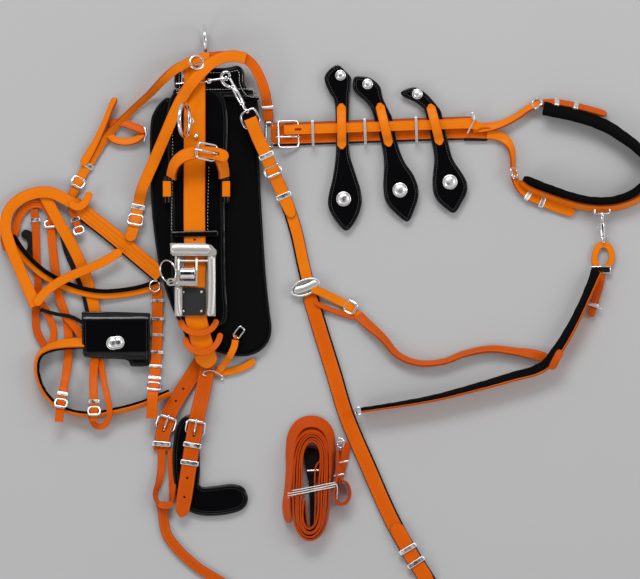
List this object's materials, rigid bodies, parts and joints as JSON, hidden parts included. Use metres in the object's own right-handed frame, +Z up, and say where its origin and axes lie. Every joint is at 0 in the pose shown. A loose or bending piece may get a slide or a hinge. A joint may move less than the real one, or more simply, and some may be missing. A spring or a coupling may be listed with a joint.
{
  "type": "driving harness",
  "caption": "Single driving harness laid out flat: saddle with quick hitch and terrets, bridle with blinder, breast strap, back strap with patent drops, crupper, girth and folded lines",
  "frame": {"origin": "centre of the flat underside of the saddle pad, on the floor", "axes": "+X towards the crupper, +Y towards the top of the saddle, +Z up from the floor"},
  "size_m": [0.8503, 0.7396, 0.0769],
  "materials": {
    "orange_strap": "smooth coated strap",
    "black_patent": "glossy patent",
    "black_felt": "matte padded lining",
    "chrome": "polished",
    "brushed_metal": "brushed",
    "rubber": "matte",
    "white_cord": "twisted cord"
  },
  "bodies": {
    "harness": {"saddle_pad": "black_felt", "saddle_skirt": "black_patent", "saddle_tree": "black_patent", "saddle_strap": "orange_strap", "fly_terret": "chrome", "side_terret": "chrome", "check_ring": "chrome", "tug_billet": "orange_strap", "tug_chape": "orange_strap", "hitch_frame": "brushed_metal", "hitch_pad": "rubber", "collar_upper": "orange_strap", "collar_lower": "orange_strap", "front_billet": "orange_strap", "rear_billet": "orange_strap", "front_chape": "orange_strap", "girth": "black_patent", "tail_strap": "orange_strap", "dee_strap": "orange_strap", "collar_snap": "chrome", "collar_swivel": "chrome", "collar_billet": "orange_strap", "collar_strap": "orange_strap", "collar_ring": "chrome", "breast_strap": "orange_strap", "side_strap": "orange_strap", "breeching_strap": "black_felt", "crupper_snap": "chrome", "back_strap": "orange_strap", "back_billet": "orange_strap", "neck_strap": "orange_strap", "crupper_dock": "black_felt", "crupper_strap": "orange_strap", "crupper_fork": "orange_strap", "crown_strap": "orange_strap", "near_cheek": "orange_strap", "brow_band": "orange_strap", "lower_band": "black_felt", "far_cheek": "orange_strap", "blinder": "black_patent", "noseband": "black_felt", "rear_cheek": "orange_strap", "overcheck_front": "orange_strap", "overcheck_rear": "orange_strap"},
    "tug_tongue": {"tug_tongue": "chrome"},
    "front_tongue": {"front_tongue": "chrome"},
    "rear_tongue": {"rear_tongue": "chrome"},
    "back_tongue": {"back_tongue": "chrome"},
    "lever": {"hitch_lever": "brushed_metal"},
    "roller": {"hitch_roller": "chrome"},
    "latch": {"hitch_latch": "brushed_metal"},
    "pull_ring": {"hitch_ring": "chrome"},
    "dee": {"dee_ring": "chrome"},
    "collar_bolt": {"collar_snap_bolt": "brushed_metal"},
    "crupper_bolt": {"crupper_snap_bolt": "brushed_metal"},
    "drop_front": {"drop_front": "black_patent"},
    "drop_middle": {"drop_middle": "black_patent"},
    "drop_rear": {"drop_rear": "black_patent"},
    "lines": {"lines_hank": "orange_strap", "lines_tie": "white_cord"}
  },
  "joints": [
    {"name": "tug_tongue_swing", "type": "hinge", "parent": "harness", "child": "tug_tongue", "pos_m": [0.00972, 0.09125, 0.04883], "axis": [0.124, 0.9923, 0], "range_deg": [0, 30]},
    {"name": "front_tongue_swing", "type": "hinge", "parent": "harness", "child": "front_tongue", "pos_m": [-0.05811, -0.2652, 0.00347], "axis": [0.9439, -0.3304, 0], "range_deg": [0, 30]},
    {"name": "rear_tongue_swing", "type": "hinge", "parent": "harness", "child": "rear_tongue", "pos_m": [-0.019, -0.27105, 0.0089], "axis": [0.985, -0.1724, 0], "range_deg": [0, 30]},
    {"name": "back_tongue_swing", "type": "hinge", "parent": "harness", "child": "back_tongue", "pos_m": [0.11688, 0.12288, 0.00347], "axis": [-0.0339, 0.9994, 0], "range_deg": [0, 25]},
    {"name": "lever_lift", "type": "hinge", "parent": "harness", "child": "lever", "pos_m": [-0.0273, -0.0468, 0.03525], "axis": [-1, 0, 0], "range_deg": [0, 60]},
    {"name": "roller_turn", "type": "hinge", "parent": "lever", "child": "roller", "pos_m": [-0.0273, -0.063, 0.03885], "axis": [1, 0, 0], "continuous": true},
    {"name": "latch_pull", "type": "slide", "parent": "lever", "child": "latch", "axis": [1, 0, 0], "range_m": [-0.006, 0], "stiffness_N_per_m": 150, "springref_m": 0.003},
    {"name": "pull_ring_swing", "type": "hinge", "parent": "latch", "child": "pull_ring", "pos_m": [-0.0481, -0.0741, 0.04005], "axis": [-0.2723, 0.9622, 0], "range_deg": [-40, 0]},
    {"name": "dee_swing", "type": "hinge", "parent": "harness", "child": "dee", "pos_m": [0.03458, -0.1456, 0.02105], "axis": [-0.802, 0.5973, 0], "range_deg": [-50, 0]},
    {"name": "collar_bolt_slide", "type": "slide", "parent": "harness", "child": "collar_bolt", "axis": [0.4725, -0.8813, 0], "range_m": [0, 0.007], "stiffness_N_per_m": 200, "springref_m": -0.003},
    {"name": "crupper_bolt_slide", "type": "slide", "parent": "harness", "child": "crupper_bolt", "axis": [0.0618, -0.9981, 0], "range_m": [0, 0.005], "stiffness_N_per_m": 200, "springref_m": -0.003},
    {"name": "drop_front_slide", "type": "slide", "parent": "harness", "child": "drop_front", "axis": [0.9991, 0.0415, 0], "range_m": [-0.008, 0.0015]},
    {"name": "drop_middle_slide", "type": "slide", "parent": "harness", "child": "drop_middle", "axis": [0.9991, 0.0415, 0], "range_m": [-0.0015, 0.008]},
    {"name": "drop_rear_slide", "type": "slide", "parent": "harness", "child": "drop_rear", "axis": [0.9991, 0.0415, 0], "range_m": [-0.0015, 0.008]},
    {"name": "lines_lift", "type": "slide", "parent": "harness", "child": "lines", "axis": [0, 0, 1], "range_m": [0, 0.1]}
  ]
}
